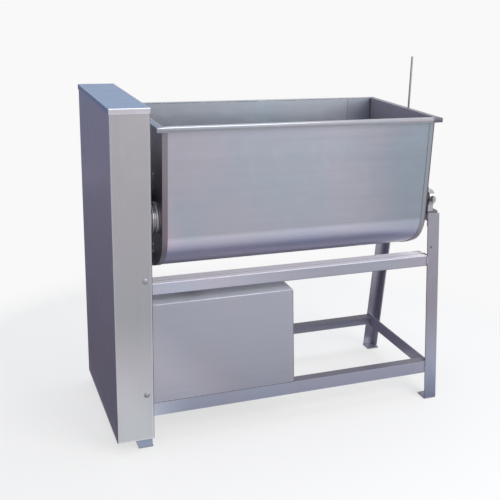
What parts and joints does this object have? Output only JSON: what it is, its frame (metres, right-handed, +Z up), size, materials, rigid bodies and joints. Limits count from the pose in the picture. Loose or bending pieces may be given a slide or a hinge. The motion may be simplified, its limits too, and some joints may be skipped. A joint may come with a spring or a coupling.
{
  "type": "dough mixer",
  "caption": "Tilting trough dough mixer on a trestle frame, with an arm agitator, a chain drive cabinet and a boxed gear motor below.",
  "frame": {"origin": "on the floor, in the middle of the machine's footprint", "axes": "+X from the chain cabinet along the trough, +Y away from the operator, +Z up"},
  "size_m": [1.3, 0.6216, 1.342],
  "materials": {
    "sheet_steel": "satin brushed stainless sheet",
    "frame_steel": "satin stainless angle and channel",
    "cast_housing": "grey painted casting",
    "machined_steel": "turned and machined steel",
    "bronze": "plain bronze bush",
    "rubber": "black rubber"
  },
  "bodies": {
    "frame": {"leg_front_left": "frame_steel", "leg_front_right": "frame_steel", "leg_rear_left": "frame_steel", "leg_rear_right": "frame_steel", "foot_plates": "frame_steel", "top_rail_front": "frame_steel", "top_rail_rear": "frame_steel", "lower_rail_front": "frame_steel", "lower_rail_rear": "frame_steel", "lower_rail_left": "frame_steel", "lower_rail_right": "frame_steel", "cross_head_left": "frame_steel", "cross_head_right": "frame_steel", "cabinet_cover": "sheet_steel", "cabinet_inner_panel": "sheet_steel", "cabinet_cap": "sheet_steel", "cover_bolts": "machined_steel", "bearing_seats": "frame_steel", "tilt_bearing_base_left": "cast_housing", "tilt_bearing_cap_left": "cast_housing", "tilt_bearing_bush_left": "bronze", "tilt_bearing_base_right": "cast_housing", "tilt_bearing_cap_right": "cast_housing", "tilt_bearing_bush_right": "bronze", "bearing_block_bolts": "machined_steel", "motor_box": "sheet_steel", "motor_bearers": "frame_steel", "motor_base": "frame_steel", "gear_reducer": "cast_housing", "motor_body": "cast_housing", "fan_cowl": "cast_housing", "terminal_box": "cast_housing", "drive_feet_bolts": "machined_steel", "trough_rest_pads": "rubber", "lower_chain": "machined_steel"},
    "trough": {"trough_shell": "sheet_steel", "trough_end_left": "sheet_steel", "trough_end_right": "sheet_steel", "trough_rim": "sheet_steel", "trunnion_left": "machined_steel", "trunnion_right": "machined_steel", "trunnion_bolts": "machined_steel", "agitator_bearing_left": "cast_housing", "agitator_bearing_right": "cast_housing", "agitator_bearing_bolts": "machined_steel", "shaft_seals": "rubber", "tipping_bar": "machined_steel", "tipping_bar_lugs": "machined_steel", "countershaft_bushes": "bronze", "upper_chain": "machined_steel"},
    "agitator": {"agitator_shaft": "machined_steel", "agitator_paddles": "machined_steel", "agitator_sprocket": "machined_steel"},
    "countershaft": {"countershaft": "machined_steel", "countershaft_large_sprocket": "machined_steel", "countershaft_small_sprocket": "machined_steel"},
    "output_shaft": {"reducer_output_shaft": "machined_steel", "output_sprocket": "machined_steel"}
  },
  "joints": [
    {"name": "trough_tilt", "type": "hinge", "parent": "frame", "child": "trough", "pos_m": [0, -0.178, 0.818], "axis": [1, 0, 0], "range_deg": [0, 90]},
    {"name": "agitator_spin", "type": "hinge", "parent": "trough", "child": "agitator", "pos_m": [0, -0.013, 0.85], "axis": [1, 0, 0], "continuous": true},
    {"name": "countershaft_spin", "type": "hinge", "parent": "trough", "child": "countershaft", "pos_m": [-0.56, -0.178, 0.818], "axis": [1, 0, 0], "continuous": true},
    {"name": "output_spin", "type": "hinge", "parent": "frame", "child": "output_shaft", "pos_m": [-0.56, -0.07, 0.294], "axis": [1, 0, 0], "continuous": true}
  ],
  "couplings": [
    {"joint": "countershaft_spin", "follows": "agitator_spin", "ratio": 1.5},
    {"joint": "output_spin", "follows": "agitator_spin", "ratio": 2.25}
  ]
}
